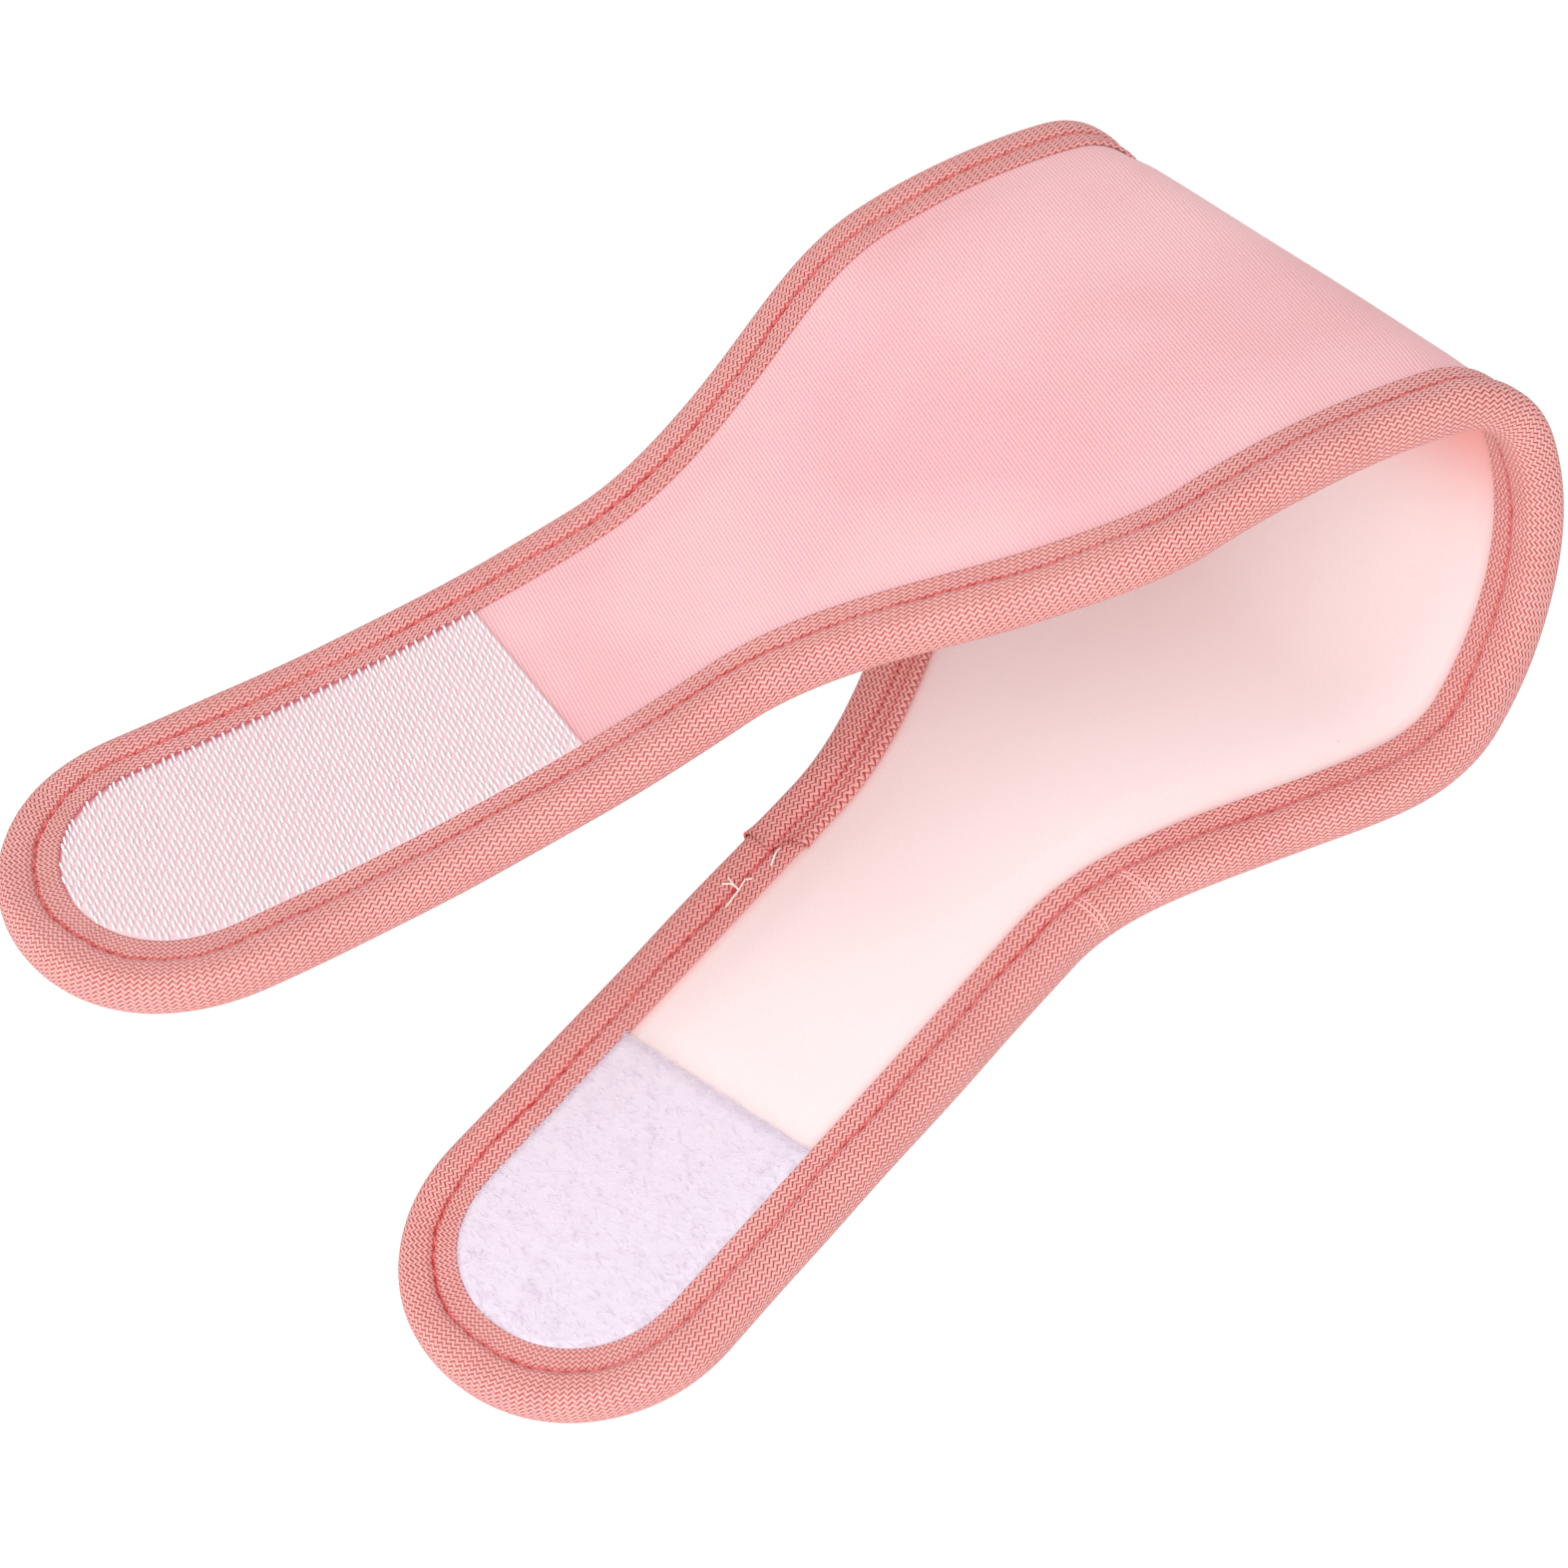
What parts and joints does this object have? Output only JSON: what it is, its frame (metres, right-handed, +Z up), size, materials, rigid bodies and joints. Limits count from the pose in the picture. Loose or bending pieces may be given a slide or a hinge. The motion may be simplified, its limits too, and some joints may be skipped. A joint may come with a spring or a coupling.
{
  "type": "spa headband",
  "caption": "Wide foam-laminate spa headband folded in a loose U, with a bound edge, a hook tab and a loop tab that fasten to each other.",
  "frame": {"origin": "middle of the overall size, on the surface that the band lies on", "axes": "+Z up; +X from the tabs to the fold, along the lower arm; +Y from the front edge to the back edge"},
  "size_m": [0.2916, 0.1996, 0.0857],
  "materials": {
    "face": "pink fine-ribbed knit, matt",
    "foam": "open-cell foam, matt",
    "lining": "soft brushed fleece, matt",
    "binding": "salmon herringbone tape, matt",
    "thread": "spun polyester thread",
    "hook": "woven tape with stiff nylon hooks",
    "loop": "woven tape with brushed loop pile"
  },
  "bodies": {
    "loop_tab": {"face_loop_tab": "face", "foam_loop_tab": "foam", "lining_loop_tab": "lining", "binding_loop_tab": "binding", "needle_thread_loop_tab": "thread", "bobbin_thread_loop_tab": "thread", "loop_tape": "loop"},
    "loop_arm": {"face_loop_arm": "face", "foam_loop_arm": "foam", "lining_loop_arm": "lining", "binding_front_loop_arm": "binding", "needle_thread_front_loop_arm": "thread", "bobbin_thread_front_loop_arm": "thread", "binding_back_loop_arm": "binding", "needle_thread_back_loop_arm": "thread", "bobbin_thread_back_loop_arm": "thread"},
    "crown": {"face_crown": "face", "foam_crown": "foam", "lining_crown": "lining", "binding_front_crown": "binding", "needle_thread_front_crown": "thread", "bobbin_thread_front_crown": "thread", "binding_back_crown": "binding", "needle_thread_back_crown": "thread", "bobbin_thread_back_crown": "thread"},
    "hook_arm": {"face_hook_arm": "face", "foam_hook_arm": "foam", "lining_hook_arm": "lining", "binding_front_hook_arm": "binding", "needle_thread_front_hook_arm": "thread", "bobbin_thread_front_hook_arm": "thread", "binding_back_hook_arm": "binding", "needle_thread_back_hook_arm": "thread", "bobbin_thread_back_hook_arm": "thread"},
    "hook_tab": {"face_hook_tab": "face", "foam_hook_tab": "foam", "lining_hook_tab": "lining", "binding_hook_tab": "binding", "needle_thread_hook_tab": "thread", "bobbin_thread_hook_tab": "thread", "hook_tape": "hook"}
  },
  "joints": [
    {"name": "loop_tab_flex", "type": "hinge", "parent": "loop_arm", "child": "loop_tab", "pos_m": [-0.01525, 0.03382, 0.0048], "axis": [0.495, 0.8689, 0], "range_deg": [-20, 30], "stiffness_Nm_per_rad": 0.05},
    {"name": "fold_lower_flex", "type": "hinge", "parent": "loop_arm", "child": "crown", "pos_m": [0.11649, -0.01696, 0.01737], "axis": [0.2183, 0.9755, -0.0264], "range_deg": [-2, 80], "stiffness_Nm_per_rad": 0.15, "springref_deg": 10.89},
    {"name": "fold_upper_flex", "type": "hinge", "parent": "crown", "child": "hook_arm", "pos_m": [0.12403, -0.01525, 0.06178], "axis": [0.2024, 0.972, -0.1197], "range_deg": [-2, 80], "stiffness_Nm_per_rad": 0.15, "springref_deg": 10.89},
    {"name": "hook_tab_flex", "type": "hinge", "parent": "hook_arm", "child": "hook_tab", "pos_m": [-0.02281, 0.04178, 0.05871], "axis": [-0.5109, -0.8521, 0.1133], "range_deg": [-30, 25], "stiffness_Nm_per_rad": 0.05, "springref_deg": -5.04}
  ],
  "couplings": [
    {"joint": "fold_upper_flex", "follows": "fold_lower_flex", "ratio": 1}
  ]
}
